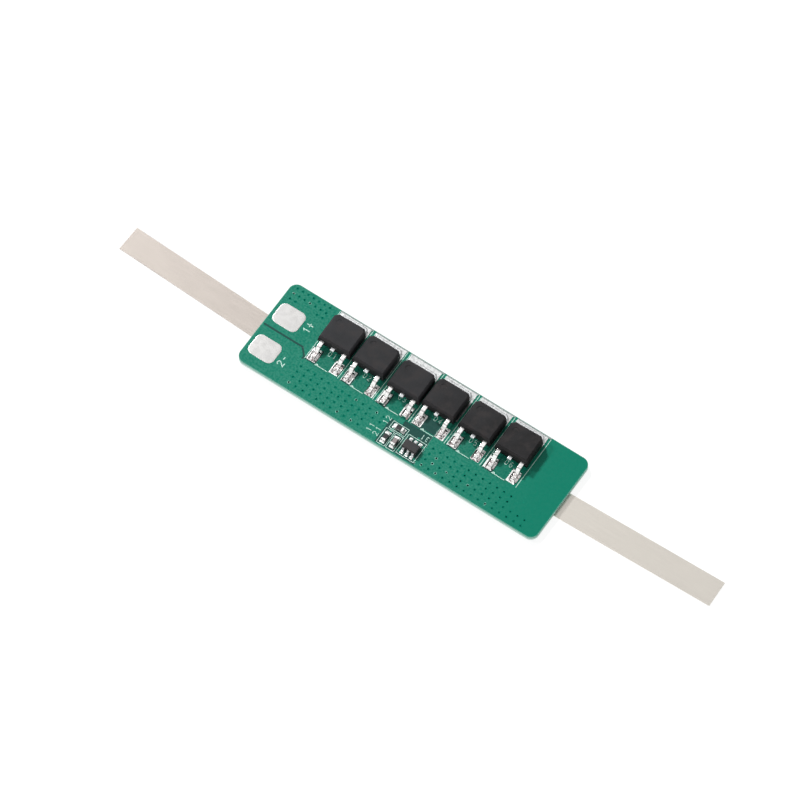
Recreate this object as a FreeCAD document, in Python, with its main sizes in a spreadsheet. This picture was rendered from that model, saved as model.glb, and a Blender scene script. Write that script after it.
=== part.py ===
import FreeCAD, Part
import os
import Sketcher

# Battery protection board for one cell: a long circuit board that carries a row of six
# power transistors and a small control chip, with a nickel strip soldered under each end.
#
# Frame: the board lies flat with its top up along +Z. X runs along the board from the end
# with the terminal pads towards the bare end, and Y runs across it towards the transistor
# tabs. Z = 0 is the underside of the nickel strips, and the origin is the middle of the
# whole outline. "West" and "south" below are the ends of the board at low X and low Y.

SIZES = {
    # circuit board
    "board_length": 60.5,
    "board_width": 17.5,
    "board_thick": 1.0,
    "board_corner": 1.5,
    # tinned copper lands, and the solder that stands between a land and what it holds
    "land_thick": 0.05,
    "solder_film": 0.05,
    # vias: bore, columns counted from the nearer end, rows from the nearer long edge
    "via_bore": 0.36,
    "left_via_column": 10.11,
    "left_via_pitch": 1.405,
    "left_via_row": 1.27,
    "right_via_column": 3.28,
    "right_via_pitch": 1.43,
    "right_via_row": 1.05,
    "via_row_pitch": 1.21,
    "corner_via_column": 1.25,
    "corner_via_pitch": 1.107,
    "corner_via_row": 0.78,
    "corner_via_row_pitch": 1.15,
    # terminal pads at the west end
    "pad_length": 5.1,
    "pad_width": 4.15,
    "pad_corner": 1.1,
    "pad_from_west": 3.2,
    "plus_pad_from_south": 11.3,
    "minus_pad_from_south": 4.15,
    # nickel strips, soldered under the two ends and turned a little in the soldering
    "strip_width": 5.0,
    "strip_thick": 0.15,
    "left_overhang": 28.5,
    "right_overhang": 30.5,
    "strip_overlap": 5.0,
    "left_strip_from_south": 7.76,
    "right_strip_from_south": 8.65,
    "left_strip_turn": 2.2,
    "right_strip_turn": 1.44,
    "strip_land_margin": 0.5,
    # transistor row: middle of the first body, from the west end and from the north edge
    "row_from_west": 13.04,
    "row_from_north": 4.5,
    "row_pitch": 7.18,
    # transistor package
    "transistor_width": 6.54,
    "transistor_length": 5.8,
    "transistor_height": 2.3,
    "transistor_corner": 0.7,
    "transistor_draft": 10.0,
    "transistor_edge": 0.28,
    "mould_mark_radius": 0.55,
    "mould_mark_depth": 0.06,
    "mould_mark_from_side": 1.65,
    "mould_mark_from_end": 1.6,
    "tab_width": 5.3,
    "tab_thick": 0.5,
    "tab_reach": 0.8,
    "tab_inside": 4.5,
    "tab_corner": 0.45,
    "stub_reach": 0.65,
    "lead_spacing": 4.572,
    "lead_width": 0.76,
    "lead_thick": 0.5,
    "lead_rise": 1.15,
    "lead_inside": 1.0,
    "lead_straight": 1.1,
    "lead_reach": 3.0,
    "lead_slope": 57.0,
    "lead_bend": 0.15,
    # lands of the transistors
    "drain_land_width": 6.25,
    "drain_land_length": 6.2,
    "drain_land_edge": 0.3,
    "lead_land_width": 1.65,
    "lead_land_length": 2.5,
    "lead_land_overrun": 0.45,
    # solder fillets round the feet and the tab
    "fillet_rise": 0.3,
    "fillet_side": 0.3,
    "fillet_toe": 0.3,
    "fillet_heel": 0.35,
    "fillet_slope": 42.0,
    "tab_fillet_side": 0.22,
    # control chip
    "chip_from_west": 34.12,
    "chip_from_south": 2.55,
    "chip_length": 2.9,
    "chip_width": 1.6,
    "chip_height": 1.05,
    "chip_standoff": 0.08,
    "chip_draft": 8.0,
    "pin_pitch": 0.95,
    "pin_width": 0.4,
    "pin_thick": 0.14,
    "pin_rise": 0.52,
    "pin_inside": 0.3,
    "pin_straight": 0.14,
    "pin_reach": 0.62,
    "pin_slope": 72.0,
    "pin_bend": 0.05,
    "pin_land_width": 0.6,
    "pin_land_length": 0.95,
    "pin_land_overrun": 0.3,
    "pin_fillet_rise": 0.1,
    "pin_fillet_side": 0.07,
    "pin_fillet_toe": 0.14,
    "pin_fillet_heel": 0.1,
    "pin_fillet_slope": 36.0,
    # resistors and capacitor
    "part_length": 1.6,
    "part_width": 0.8,
    "resistor_height": 0.45,
    "capacitor_height": 0.8,
    "end_cap_length": 0.32,
    "end_cap_plating": 0.03,
    "part_land_length": 0.85,
    "part_land_width": 0.9,
    "part_land_overrun": 0.4,
    "part_fillet_rise": 0.24,
    "part_fillet_reach": 0.28,
    "part_fillet_slope": 36.0,
    "resistor_one_from_west": 29.36,
    "resistor_one_from_south": 1.9,
    "resistor_two_from_west": 30.4,
    "resistor_two_off_middle": 0.4,
    "capacitor_from_west": 31.22,
    "capacitor_from_south": 1.95,
}

# How each hand-placed transistor sits off its nominal place: along X, along Y, and its turn
SEATING = [
    (0.04, 0.06, 1.0),
    (-0.12, -0.03, -0.4),
    (0.16, -0.46, 0.3),
    (-0.2, -0.08, 0.3),
    (0.02, -0.08, -0.5),
    (0.06, 0.08, 1.8),
]
for number, seat in enumerate(SEATING, start=1):
    for name, value in zip(("shift_x", "shift_y", "turn"), seat):
        SIZES["transistor_%d_%s" % (number, name)] = value

document = FreeCAD.newDocument("battery_protection_board")
sizes = document.addObject("Spreadsheet::Sheet", "sizes")
for row, (alias, value) in enumerate(SIZES.items(), start=1):
    sizes.set("A%d" % row, alias)
    sizes.set("B%d" % row, str(value))
    sizes.setAlias("B%d" % row, alias)
document.recompute()

# Places that several pieces share, as expressions of the sizes above
MIDDLE = "((sizes.left_overhang - sizes.right_overhang) / 2)"
WEST = "(%s - sizes.board_length / 2)" % MIDDLE
EAST = "(%s + sizes.board_length / 2)" % MIDDLE
SOUTH = "(-sizes.board_width / 2)"
NORTH = "(sizes.board_width / 2)"
UNDERSIDE = "(sizes.strip_thick + sizes.solder_film + sizes.land_thick)"
TOP = "(%s + sizes.board_thick)" % UNDERSIDE
LAND_TOP = "(%s + sizes.land_thick)" % TOP
SEAT = "(%s + sizes.solder_film)" % LAND_TOP
TOES = "(%s - sizes.row_from_north - sizes.transistor_length / 2 - sizes.lead_reach)" % NORTH

# A via is round, but drawn with this many flats to keep the board's faces few
VIA_SIDES = 8
# Edges this close to the top of a body, in millimetres, lie in its top face
FLAT = 0.001
# The sketcher's number for the centre point of a circle
CIRCLE_CENTRE = 3

sub_parts = []


def sub_part(piece, label):
    """Gives a finished piece its name and keeps it for writing out."""
    piece.Label = label
    sub_parts.append(piece)
    return piece


def place(piece, x, y, z, turn="0"):
    """Binds a piece's place to expressions, with a turn about its own upright axis."""
    piece.setExpression("Placement.Base.x", x)
    piece.setExpression("Placement.Base.y", y)
    piece.setExpression("Placement.Base.z", z)
    if turn != "0":
        piece.setExpression("Placement.Rotation.Angle", turn)
    return piece


def new_body(name):
    """An empty body that may hold several separate solids."""
    body = document.addObject("PartDesign::Body", name)
    body.AllowCompound = True
    return body


def new_sketch(body, plane_role, offset="0"):
    """A sketch on one of the body's own origin planes, raised from it by an offset."""
    sketch = body.newObject("Sketcher::SketchObject", body.Name + "_sketch")
    plane = [item for item in body.Origin.OriginFeatures if item.Role == plane_role][0]
    sketch.AttachmentSupport = [(plane, "")]
    sketch.MapMode = "FlatFace"
    if offset != "0":
        sketch.setExpression("AttachmentOffset.Base.z", offset)
    return sketch


def hold_point(sketch, item, point, across, along, label):
    """Holds a point of the sketch at two expressions, measured from its origin."""
    for kind, axis, expression in (("DistanceX", -2, across), ("DistanceY", -1, along)):
        if expression == "0":
            sketch.addConstraint(Sketcher.Constraint("PointOnObject", item, point, axis))
            continue
        value = sizes.evalExpression(expression)
        number = sketch.addConstraint(Sketcher.Constraint(kind, -1, 1, item, point, value))
        name = "%s_%s" % (label, kind)
        sketch.renameConstraint(number, name)
        sketch.setExpression("Constraints." + name, expression)


def outline(sketch, corners):
    """A closed outline of straight lines, each corner held at its two expressions."""
    places = []
    for across, along in corners:
        point = FreeCAD.Vector(sizes.evalExpression(across), sizes.evalExpression(along), 0)
        places.append(point)
    following = places[1:] + places[:1]
    lines = [Part.LineSegment(start, end) for start, end in zip(places, following)]
    sketch.addGeometry(lines, False)
    for item in range(len(corners)):
        after = (item + 1) % len(corners)
        sketch.addConstraint(Sketcher.Constraint("Coincident", item, 2, after, 1))
    for item, (across, along) in enumerate(corners):
        hold_point(sketch, item, 1, across, along, "corner_%d" % item)


def rectangle(low_x, low_y, high_x, high_y):
    """The corners of an upright rectangle."""
    return [(low_x, low_y), (high_x, low_y), (high_x, high_y), (low_x, high_y)]


def pad(sketch, length, draft="0", downwards=False, both_ways=False):
    """Thickens a sketch; a draft narrows the piece as it leaves the sketch."""
    body = sketch.getParentGeoFeatureGroup()
    feature = body.newObject("PartDesign::Pad", body.Name + "_pad")
    feature.Profile = sketch
    feature.Reversed = downwards
    if both_ways:
        feature.SideType = "Symmetric"
    feature.setExpression("Length", length)
    if draft != "0":
        feature.setExpression("TaperAngle", "-(%s)" % draft)
    return feature


def edges_at(feature, points):
    """Names of the feature's edges whose middles lie nearest to the given points."""
    names = []
    for point in points:
        middle = FreeCAD.Vector(*[sizes.evalExpression(value) for value in point])
        distances = [edge.CenterOfMass.distanceToPoint(middle) for edge in feature.Shape.Edges]
        names.append("Edge%d" % (distances.index(min(distances)) + 1))
    return names


def round_edges(feature, names, radius):
    """Rounds the named edges of a body's last feature."""
    body = feature.getParentGeoFeatureGroup()
    rounding = body.newObject("PartDesign::Fillet", body.Name + "_rounding")
    rounding.Base = (feature, names)
    rounding.setExpression("Radius", radius)
    document.recompute()
    return rounding


def block(label, middle_x, middle_y, base_z, length, width, thick, corner="0"):
    """A flat rectangular piece about its middle, with rounded corners if they are asked for."""
    body = new_body(label)
    half_x = "(%s) / 2" % length
    half_y = "(%s) / 2" % width
    sketch = new_sketch(body, "XY_Plane")
    outline(sketch, rectangle("-" + half_x, "-" + half_y, half_x, half_y))
    plate = pad(sketch, thick)
    document.recompute()
    if corner != "0":
        signs = (("-", "-"), ("", "-"), ("", ""), ("-", ""))
        middle = "(%s) / 2" % thick
        upright = [(side + half_x, end + half_y, middle) for side, end in signs]
        round_edges(plate, edges_at(plate, upright), corner)
    return place(body, middle_x, middle_y, base_z)


def cut_away(name, stock, tool):
    """What is left of the stock once the tool's shape is taken from it."""
    remainder = document.addObject("Part::Cut", name)
    remainder.Base = stock
    remainder.Tool = tool
    return remainder


def group(name, pieces):
    """Several separate solids under one name."""
    compound = document.addObject("Part::Compound", name)
    compound.Links = pieces
    return compound


def via_drill(x, y):
    """The drill that makes one via, standing through the board with room at both faces."""
    drill = document.addObject("Part::Prism", "via_drill")
    drill.Polygon = VIA_SIDES
    drill.setExpression("Circumradius", "sizes.via_bore / 2")
    drill.setExpression("Height", "2 * sizes.board_thick")
    return place(drill, x, y, "%s - sizes.board_thick / 2" % UNDERSIDE)


def circuit_board():
    """The laminate with its rounded corners and its drilled fields of vias."""
    laminate = block("laminate", MIDDLE, "0", UNDERSIDE, "sizes.board_length",
                     "sizes.board_width", "sizes.board_thick", "sizes.board_corner")
    # each field of vias: whose columns it uses, the columns and the rows that it fills
    fields = [
        ("left", range(11), range(2)),
        ("left", range(13), range(2, 4)),
        ("right", range(15), range(2)),
        ("right", range(3, 15), range(2, 4)),
        ("corner", range(7), range(2)),
        ("corner", (0, 1, 5, 6), (2,)),
    ]
    drills = []
    for field, columns, rows in fields:
        own = "sizes.%s_via_" % field
        for column in columns:
            x = "%s + %scolumn + %d * %spitch" % (WEST, own, column, own)
            if field == "right":
                x = "%s - %scolumn - %d * %spitch" % (EAST, own, column, own)
            for row in rows:
                if field == "corner":
                    y = "%s - %srow - %d * %srow_pitch" % (NORTH, own, row, own)
                else:
                    y = "%s + %srow + %d * sizes.via_row_pitch" % (SOUTH, own, row)
                drills.append(via_drill(x, y))
    return sub_part(cut_away("board", laminate, group("all_drills", drills)), "circuit_board")


def terminal_pad(sign):
    """One tinned terminal pad with well-rounded corners."""
    pad_body = block(sign + "_pad", WEST + " + sizes.pad_from_west",
                     "%s + sizes.%s_pad_from_south" % (SOUTH, sign), TOP,
                     "sizes.pad_length", "sizes.pad_width", "sizes.land_thick",
                     "sizes.pad_corner")
    return sub_part(pad_body, "terminal_pad_" + sign)


def gull_profile(kind, body_side):
    """Corners of a gull-wing lead seen from its side, and the corners of its two bends.

    The lead leaves the package level, drops down a steep slope and ends in a flat foot at
    zero height. Its middle line turns at two points, and half the thickness is set off to
    each side of it, so the metal has the same thickness all the way. The first list goes
    round the outline; the others hold the inner and outer corners of the bends.
    """
    size = "sizes.%s_" % kind
    half = size + "thick / 2"
    mitre = "%sthick / 2 * tan(%sslope / 2)" % (size, size)
    fall = "(%srise - %s) / tan(%sslope)" % (size, half, size)
    start = "-(%s) + %sinside" % (body_side, size)
    first_bend = "-(%s) - %sstraight" % (body_side, size)
    second_bend = "%s - %s" % (first_bend, fall)
    toe = "-(%s) - %sreach" % (body_side, size)
    upper = "%srise + %s" % (size, half)
    lower = "%srise - %s" % (size, half)
    foot_top = size + "thick"
    outer_first = (first_bend + " - " + mitre, upper)
    inner_first = (first_bend + " + " + mitre, lower)
    inner_second = (second_bend + " - " + mitre, foot_top)
    outer_second = (second_bend + " + " + mitre, "0")
    corners = [(start, upper), outer_first, inner_second, (toe, foot_top),
               (toe, "0"), outer_second, inner_first, (start, lower)]
    return corners, [inner_first, inner_second], [outer_first, outer_second]


def gull_lead(name, kind, body_side):
    """One gull-wing lead, bent from flat metal, standing on its foot south of its package."""
    body = new_body(name)
    corners, inner, outer = gull_profile(kind, body_side)
    sketch = new_sketch(body, "YZ_Plane")
    outline(sketch, corners)
    metal = pad(sketch, "sizes.%s_width" % kind, both_ways=True)
    document.recompute()
    bends = edges_at(metal, [("0",) + corner for corner in inner])
    metal = round_edges(metal, bends, "sizes.%s_bend" % kind)
    bends = edges_at(metal, [("0",) + corner for corner in outer])
    round_edges(metal, bends, "sizes.%s_bend + sizes.%s_thick" % (kind, kind))
    return body


def foot_solder(name, kind, fillet, body_side, lead):
    """The solder under and round a lead's foot: a drafted mound with the lead cut out."""
    mound = new_body(name + "_mound")
    half = "sizes.%s_width / 2 + sizes.%s_side" % (kind, fillet)
    lowest_bend = gull_profile(kind, body_side)[2][1]
    heel = "%s + sizes.%s_heel" % (lowest_bend[0], fillet)
    toe = "-(%s) - sizes.%s_reach - sizes.%s_toe" % (body_side, kind, fillet)
    sketch = new_sketch(mound, "XY_Plane", "-sizes.solder_film")
    outline(sketch, rectangle("-(%s)" % half, toe, half, heel))
    pad(sketch, "sizes.%s_rise + sizes.solder_film" % fillet, "sizes.%s_slope" % fillet)
    for path in ("Base.x", "Base.y", "Base.z", "Rotation.Angle"):
        mound.setExpression("Placement." + path, "%s.Placement.%s" % (lead.Name, path))
    return cut_away(name, mound, lead)


def transistor_mould(name):
    """The moulded body: two drafted halves that meet at the height of the leads.

    The round mark that the mould's ejector pin leaves in its top is a shallow pocket.
    """
    body = new_body(name)
    side = "sizes.transistor_width / 2"
    end = "sizes.transistor_length / 2"
    shy_side = side + " - sizes.transistor_corner"
    shy_end = end + " - sizes.transistor_corner"
    corners = [("-" + side, "-" + end), (side, "-" + end), (side, shy_end),
               (shy_side, end), ("-(%s)" % shy_side, end), ("-" + side, shy_end)]
    upper_height = "sizes.transistor_height - sizes.lead_rise"
    for height, downwards in ((upper_height, False), ("sizes.lead_rise", True)):
        sketch = new_sketch(body, "XY_Plane", "sizes.lead_rise")
        outline(sketch, corners)
        moulding = pad(sketch, height, "sizes.transistor_draft", downwards)
        document.recompute()
    top = body.Shape.BoundBox.ZMax
    rim = []
    for number, edge in enumerate(moulding.Shape.Edges, start=1):
        if edge.BoundBox.ZMin > top - FLAT:
            rim.append("Edge%d" % number)
    chamfer = body.newObject("PartDesign::Chamfer", name + "_rim")
    chamfer.Base = (moulding, rim)
    chamfer.setExpression("Size", "sizes.transistor_edge")
    mark = new_sketch(body, "XY_Plane", "sizes.transistor_height")
    across = "-%s + sizes.mould_mark_from_side" % side
    along = end + " - sizes.mould_mark_from_end"
    centre = FreeCAD.Vector(sizes.evalExpression(across), sizes.evalExpression(along), 0)
    radius = "sizes.mould_mark_radius"
    circle = Part.Circle(centre, FreeCAD.Vector(0, 0, 1), sizes.evalExpression(radius))
    mark.addGeometry(circle, False)
    hold_point(mark, 0, CIRCLE_CENTRE, across, along, "mark")
    held = mark.addConstraint(Sketcher.Constraint("Radius", 0, sizes.evalExpression(radius)))
    mark.renameConstraint(held, "mark_radius")
    mark.setExpression("Constraints.mark_radius", radius)
    pocket = body.newObject("PartDesign::Pocket", name + "_mark")
    pocket.Profile = mark
    pocket.setExpression("Length", "sizes.mould_mark_depth")
    return body


def drain_tab(name):
    """The copper that carries the die: a tab out at the north, a cut lead at the south.

    The tab is a plate in the package's underside. Inside the plastic a strut climbs from
    it to the height of the other leads and comes out as the short middle lead.
    """
    body = new_body(name)
    side = "sizes.tab_width / 2"
    north = "sizes.transistor_length / 2 + sizes.tab_reach"
    south = "sizes.transistor_length / 2 - sizes.tab_inside"
    shy_side = side + " - sizes.tab_corner"
    shy_north = north + " - sizes.tab_corner"
    sketch = new_sketch(body, "XY_Plane")
    outline(sketch, [("-" + side, south), (side, south), (side, shy_north),
                     (shy_side, north), ("-(%s)" % shy_side, north), ("-" + side, shy_north)])
    pad(sketch, "sizes.tab_thick")
    half = "sizes.lead_thick / 2"
    upper = "sizes.lead_rise + " + half
    lower = "sizes.lead_rise - " + half
    stub_end = "-sizes.transistor_length / 2 - sizes.stub_reach"
    climb = "(%s) - sizes.lead_rise" % south
    strut = new_sketch(body, "YZ_Plane")
    outline(strut, [(stub_end, lower), (climb, lower), (south, "0"),
                    ("(%s) + sizes.tab_thick" % south, "0"),
                    ("(%s) + sizes.tab_thick" % south, "sizes.tab_thick"),
                    ("(%s) + sizes.tab_thick" % climb, upper), (stub_end, upper)])
    pad(strut, "sizes.lead_width", both_ways=True)
    return body


def tab_solder(name, tab):
    """Solder under the tab, with a low fillet round the part that shows."""
    film = new_body(name + "_mound")
    side = "sizes.tab_width / 2"
    north = "sizes.transistor_length / 2 + sizes.tab_reach"
    south = "sizes.transistor_length / 2 - sizes.tab_inside"
    bare = "sizes.transistor_length / 2 + sizes.tab_fillet_side"
    sketch = new_sketch(film, "XY_Plane", "-sizes.solder_film")
    outline(sketch, rectangle("-" + side, south, side, north))
    pad(sketch, "sizes.solder_film")
    sketch = new_sketch(film, "XY_Plane", "-sizes.solder_film")
    wide = side + " + sizes.tab_fillet_side"
    outline(sketch, rectangle("-(%s)" % wide, bare, wide, north + " + sizes.tab_fillet_side"))
    pad(sketch, "sizes.fillet_rise + sizes.solder_film", "sizes.fillet_slope")
    for path in ("Base.x", "Base.y", "Base.z", "Rotation.Angle"):
        film.setExpression("Placement." + path, "%s.Placement.%s" % (tab.Name, path))
    return cut_away(name, film, tab)


def transistor(number):
    """One power transistor with its tab, its two gull-wing leads and its solder."""
    name = "transistor_%d" % number
    own = "sizes.%s_" % name
    middle_x = "%s + sizes.row_from_west + %d * sizes.row_pitch + %sshift_x" % (
        WEST, number - 1, own)
    middle_y = "%s - sizes.row_from_north + %sshift_y" % (NORTH, own)
    turn = own + "turn"
    body_side = "sizes.transistor_length / 2"
    mould = place(transistor_mould(name + "_mould"), middle_x, middle_y, SEAT, turn)
    tab = place(drain_tab(name + "_tab"), middle_x, middle_y, SEAT, turn)
    sub_part(tab, name + "_drain_tab")
    solder = [tab_solder(name + "_tab_solder", tab)]
    leads = []
    for role, side in (("gate", "-"), ("source", "+")):
        lead = gull_lead("%s_%s" % (name, role), "lead", body_side)
        across = "%s cos(%s) * sizes.lead_spacing / 2" % (side, turn)
        along = "%s sin(%s) * sizes.lead_spacing / 2" % (side, turn)
        place(lead, "%s %s" % (middle_x, across), "%s %s" % (middle_y, along), SEAT, turn)
        sub_part(lead, "%s_%s_lead" % (name, role))
        leads.append(lead)
        solder.append(foot_solder("%s_%s_solder" % (name, role), "lead", "fillet",
                                  body_side, lead))
    metal = group(name + "_metal", [tab] + leads)
    sub_part(cut_away(name + "_body", mould, metal), name + "_body")
    sub_part(group(name + "_all_solder", solder), name + "_solder")


def transistor_lands():
    """Tinned lands: one wide one under each tab and one under each outer lead."""
    drains = []
    feet = []
    foot_y = "%s - sizes.lead_land_overrun + sizes.lead_land_length / 2" % TOES
    drain_y = "%s - sizes.drain_land_edge - sizes.drain_land_length / 2" % NORTH
    for number in range(len(SEATING)):
        middle_x = "%s + sizes.row_from_west + %d * sizes.row_pitch" % (WEST, number)
        drains.append(block("drain_land", middle_x, drain_y, TOP, "sizes.drain_land_width",
                            "sizes.drain_land_length", "sizes.land_thick"))
        for side in ("-", "+"):
            feet.append(block("lead_land", "%s %s sizes.lead_spacing / 2" % (middle_x, side),
                              foot_y, TOP, "sizes.lead_land_width",
                              "sizes.lead_land_length", "sizes.land_thick"))
    sub_part(group("all_drain_lands", drains), "drain_lands")
    sub_part(group("all_lead_lands", feet), "lead_lands")


def control_chip():
    """The small six-pin control chip, three pins to each long side."""
    middle_x = WEST + " + sizes.chip_from_west"
    middle_y = SOUTH + " + sizes.chip_from_south"
    mould = new_body("chip_mould")
    half_x = "sizes.chip_length / 2"
    half_y = "sizes.chip_width / 2"
    upper_height = "sizes.chip_height - sizes.pin_rise"
    lower_height = "sizes.pin_rise - sizes.chip_standoff"
    for height, downwards in ((upper_height, False), (lower_height, True)):
        sketch = new_sketch(mould, "XY_Plane", "sizes.pin_rise")
        outline(sketch, rectangle("-" + half_x, "-" + half_y, half_x, half_y))
        pad(sketch, height, "sizes.chip_draft", downwards)
    place(mould, middle_x, middle_y, SEAT)
    pins = []
    lands = []
    solder = []
    reach = "%s + sizes.pin_reach" % half_y
    land_out = "%s + sizes.pin_land_overrun - sizes.pin_land_length / 2" % reach
    for side, turn in (("-", "0"), ("+", "180")):
        for column in (-1, 0, 1):
            pin_x = "%s + %d * sizes.pin_pitch" % (middle_x, column)
            pin = gull_lead("chip_pin", "pin", half_y)
            place(pin, pin_x, middle_y, SEAT, turn)
            pins.append(pin)
            land_y = "%s %s (%s)" % (middle_y, side, land_out)
            lands.append(block("pin_land", pin_x, land_y, TOP, "sizes.pin_land_width",
                               "sizes.pin_land_length", "sizes.land_thick"))
            solder.append(foot_solder("pin_solder", "pin", "pin_fillet", half_y, pin))
    all_pins = group("all_chip_pins", pins)
    sub_part(cut_away("chip_body", mould, all_pins), "control_chip_body")
    sub_part(all_pins, "control_chip_leads")
    sub_part(group("all_pin_lands", lands), "control_chip_lands")
    sub_part(group("all_pin_solder", solder), "control_chip_solder")


def chip_part(label, middle_x, middle_y, height, turn):
    """A two-ended ceramic chip: body, end caps, and the solder and lands under its ends."""
    core = new_body(label + "_core")
    plating = "sizes.end_cap_plating"
    inner_x = "sizes.part_length / 2 - " + plating
    inner_y = "sizes.part_width / 2 - " + plating
    sketch = new_sketch(core, "XY_Plane", plating)
    outline(sketch, rectangle("-(%s)" % inner_x, "-(%s)" % inner_y, inner_x, inner_y))
    pad(sketch, "%s - 2 * %s" % (height, plating))
    place(core, middle_x, middle_y, SEAT, turn)
    sub_part(core, label + "_body")
    end = "sizes.part_length / 2"
    side = "sizes.part_width / 2"
    envelope = new_body(label + "_envelope")
    sketch = new_sketch(envelope, "XY_Plane")
    outline(sketch, rectangle("-" + end, "-" + side, end, side))
    pad(sketch, height)
    place(envelope, middle_x, middle_y, SEAT, turn)
    shells = []
    lands = []
    mounds = []
    for sign in ("-", ""):
        cap = new_body(label + "_cap")
        inward = "%s(%s - sizes.end_cap_length)" % (sign, end)
        sketch = new_sketch(cap, "XY_Plane")
        outline(sketch, rectangle(sign + end, "-" + side, inward, side))
        pad(sketch, height)
        place(cap, middle_x, middle_y, SEAT, turn)
        shells.append(cut_away(label + "_end_cap", cap, core))
        mound = new_body(label + "_mound")
        outward = "%s(%s + sizes.part_fillet_reach)" % (sign, end)
        sketch = new_sketch(mound, "XY_Plane", "-sizes.solder_film")
        outline(sketch, rectangle(outward, "-" + side, inward, side))
        pad(sketch, "sizes.part_fillet_rise + sizes.solder_film", "sizes.part_fillet_slope")
        place(mound, middle_x, middle_y, SEAT, turn)
        mounds.append(cut_away(label + "_end_solder", mound, envelope))
        land = new_body(label + "_land")
        far = "%s(%s + sizes.part_land_overrun)" % (sign, end)
        near = "%s(%s + sizes.part_land_overrun - sizes.part_land_length)" % (sign, end)
        half = "sizes.part_land_width / 2"
        sketch = new_sketch(land, "XY_Plane")
        outline(sketch, rectangle(far, "-" + half, near, half))
        pad(sketch, "sizes.land_thick")
        place(land, middle_x, middle_y, TOP, turn)
        lands.append(land)
    sub_part(group(label + "_both_caps", shells), label + "_end_caps")
    return lands, mounds


def small_parts():
    """The two resistors and the capacitor beside the control chip.

    One resistor and the capacitor stand at the board's edge. The other resistor lies in
    the strip that is left between the capacitor's lands and the lands of the row's leads.
    """
    first_y = SOUTH + " + sizes.resistor_one_from_south"
    capacitor_y = SOUTH + " + sizes.capacitor_from_south"
    strip_south = capacitor_y + " + sizes.part_length / 2 + sizes.part_land_overrun"
    strip_north = TOES + " - sizes.lead_land_overrun"
    strip_middle = "(%s + %s) / 2" % (strip_south, strip_north)
    second_y = strip_middle + " - sizes.resistor_two_off_middle"
    lands = []
    mounds = []
    for label, size, middle_y, height, turn in (
            ("resistor_1", "resistor_one", first_y, "sizes.resistor_height", "90"),
            ("resistor_2", "resistor_two", second_y, "sizes.resistor_height", "0"),
            ("capacitor", "capacitor", capacitor_y, "sizes.capacitor_height", "90")):
        middle_x = "%s + sizes.%s_from_west" % (WEST, size)
        own_lands, own_mounds = chip_part(label, middle_x, middle_y, height, turn)
        lands += own_lands
        mounds += own_mounds
    sub_part(group("all_small_lands", lands), "small_part_lands")
    sub_part(group("all_small_solder", mounds), "small_part_solder")


def nickel_strip(side, edge, outwards):
    """A nickel strip under one end of the board, with the land and solder that hold it.

    The strip turns about the point where its middle line passes the board's edge. Its
    length follows from the overhang, which is measured to its furthest corner.
    """
    inwards = "" if outwards == "-" else "-"
    turn = "sizes.%s_strip_turn" % side
    half = "sizes.strip_width / 2"
    reach = "(sizes.%s_overhang - %s * sin(%s)) / cos(%s)" % (side, half, turn, turn)
    pivot_y = "%s + sizes.%s_strip_from_south" % (SOUTH, side)
    strip = new_body("strip_" + side)
    sketch = new_sketch(strip, "XY_Plane")
    far = "%s(%s)" % (outwards, reach)
    near = inwards + "sizes.strip_overlap"
    outline(sketch, rectangle(far, "-" + half, near, half))
    pad(sketch, "sizes.strip_thick")
    place(strip, edge, pivot_y, "0", outwards + turn)
    sub_part(strip, "nickel_strip_" + side)

    film = new_body("film_" + side)
    sketch = new_sketch(film, "XY_Plane")
    rim = inwards + "2 * sizes.strip_land_margin"
    inner = "%s(sizes.strip_overlap - sizes.strip_land_margin)" % inwards
    width = half + " - sizes.strip_land_margin / 2"
    outline(sketch, rectangle(rim, "-(%s)" % width, inner, width))
    pad(sketch, "sizes.solder_film")
    place(film, edge, pivot_y, "sizes.strip_thick", outwards + turn)
    sub_part(film, "strip_solder_" + side)

    middle = "%s(sizes.strip_overlap / 2 + sizes.strip_land_margin)" % inwards
    if inwards == "":
        middle = "+ " + middle
    land = block("strip_land_" + side, "%s %s" % (edge, middle), pivot_y,
                 "sizes.strip_thick + sizes.solder_film", "sizes.strip_overlap",
                 "sizes.strip_width + 2 * sizes.strip_land_margin", "sizes.land_thick")
    sub_part(land, "strip_land_" + side)


circuit_board()
terminal_pad("plus")
terminal_pad("minus")
transistor_lands()
for number in range(1, len(SEATING) + 1):
    transistor(number)
control_chip()
small_parts()
nickel_strip("left", WEST, "-")
nickel_strip("right", EAST, "")
document.recompute()

for item in document.Objects:
    if "Invalid" in item.State or "Error" in item.State:
        raise RuntimeError("%s did not build: %s" % (item.Name, item.State))
for piece in sub_parts:
    if piece.Shape.isNull() or not piece.Shape.isValid() or not piece.Shape.Solids:
        raise RuntimeError("%s has no valid solid" % piece.Label)

os.makedirs("parts", exist_ok=True)
for piece in sub_parts:
    piece.Shape.exportStep("parts/%s.step" % piece.Label)
print("wrote %d sub-parts" % len(sub_parts))
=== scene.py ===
# %% [markdown]
# # Dressing a one-cell battery protection board
#
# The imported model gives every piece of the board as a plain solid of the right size: the
# laminate, six power transistors, a small control chip, two resistors, a capacitor, two
# terminal pads and two nickel strips. This lesson gives those solids their finish and adds
# what a solid model leaves out: white print, vias under the green mask, domed tin and
# solder that climbs up the leads.
#
# Everything is in metres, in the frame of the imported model. X runs along the board, Y across
# it towards the transistor tabs, and Z is up.

import math

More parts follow.
